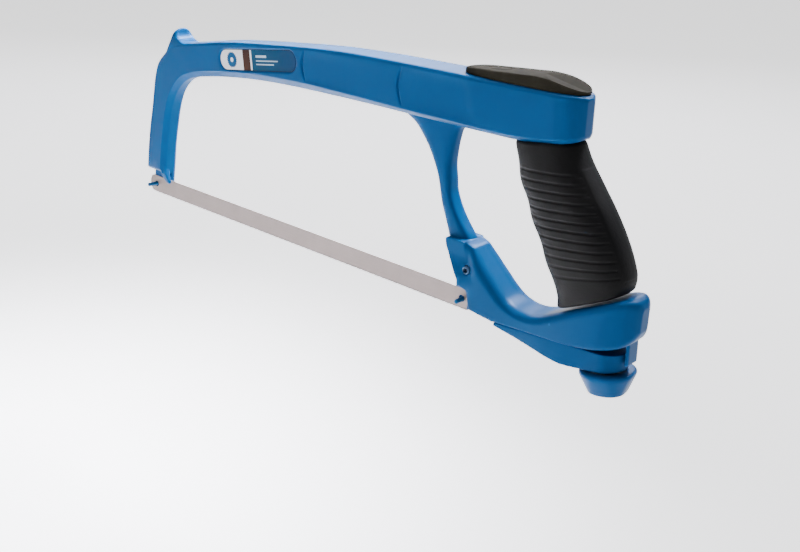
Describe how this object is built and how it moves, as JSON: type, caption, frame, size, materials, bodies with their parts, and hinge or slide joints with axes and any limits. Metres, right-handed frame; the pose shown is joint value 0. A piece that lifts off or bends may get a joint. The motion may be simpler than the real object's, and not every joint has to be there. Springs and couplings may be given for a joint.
{
  "type": "hacksaw",
  "caption": "High-tension hacksaw with a cast bow frame, closed pistol handle, front horn, lever-and-knob blade tensioner and a straight fine-toothed blade.",
  "frame": {"origin": "centre of the whole saw's bounding box at rest", "axes": "+X along the blade from the front foot to the handle, +Y across the saw, away from the side the blade is put on from, +Z from the blade up to the top bar"},
  "size_m": [0.4242, 0.0312, 0.1616],
  "materials": {
    "cast_alloy": "gloss blue paint on cast aluminium",
    "painted_steel": "gloss blue paint",
    "bright_steel": "zinc-plated, satin",
    "blade_steel": "matte bare steel with a faint warm grey cast",
    "bronze": "sintered bronze, dull",
    "grip_rubber": "fine matte texture",
    "pad_rubber": "smooth satin",
    "label_film": "printed film, glossy"
  },
  "bodies": {
    "frame_body": {"frame": "cast_alloy", "rubber_grip": "grip_rubber", "thumb_pad": "pad_rubber", "label_left": "label_film", "label_right": "label_film", "front_blade_pin": "painted_steel", "lever_pivot_pin": "bright_steel", "pivot_shim_left": "bright_steel", "pivot_shim_right": "bright_steel"},
    "lever_body": {"tension_lever": "cast_alloy", "rear_blade_pin": "painted_steel", "pivot_bushing": "bronze"},
    "nut_body": {"barrel_nut": "bright_steel"},
    "washer_body": {"thrust_washer": "bright_steel"},
    "knob_body": {"tension_screw": "bright_steel", "tension_knob": "cast_alloy", "knob_lock_pin": "bright_steel"},
    "blade_body": {"blade": "blade_steel"}
  },
  "joints": [
    {"name": "lever_swing", "type": "hinge", "parent": "frame_body", "child": "lever_body", "pos_m": [0.104, 0, -0.0347], "axis": [0, 1, 0], "range_deg": [0, 5.82]},
    {"name": "nut_tilt", "type": "hinge", "parent": "frame_body", "child": "nut_body", "pos_m": [0.19115, 0, -0.0448], "axis": [0, 1, 0], "range_deg": [0, 9.32]},
    {"name": "screw_travel", "type": "slide", "parent": "nut_body", "child": "washer_body", "axis": [0.1392, 0, -0.9903], "range_m": [0, 0.00904]},
    {"name": "knob_turn", "type": "hinge", "parent": "washer_body", "child": "knob_body", "pos_m": [0.194, 0, -0.0651], "axis": [0.1392, 0, -0.9903], "range_deg": [0, 2594]},
    {"name": "blade_play", "type": "slide", "parent": "frame_body", "child": "blade_body", "axis": [-0.9682, 0, 0.25], "range_m": [0, 0.0013]}
  ],
  "couplings": [
    {"joint": "screw_travel", "follows": "knob_turn", "m_per_rad": 0.00019894},
    {"joint": "lever_swing", "follows": "knob_turn", "ratio": 0.0022353},
    {"joint": "nut_tilt", "follows": "knob_turn", "ratio": 0.0035765},
    {"joint": "blade_play", "follows": "knob_turn", "m_per_rad": 0.000028321}
  ]
}
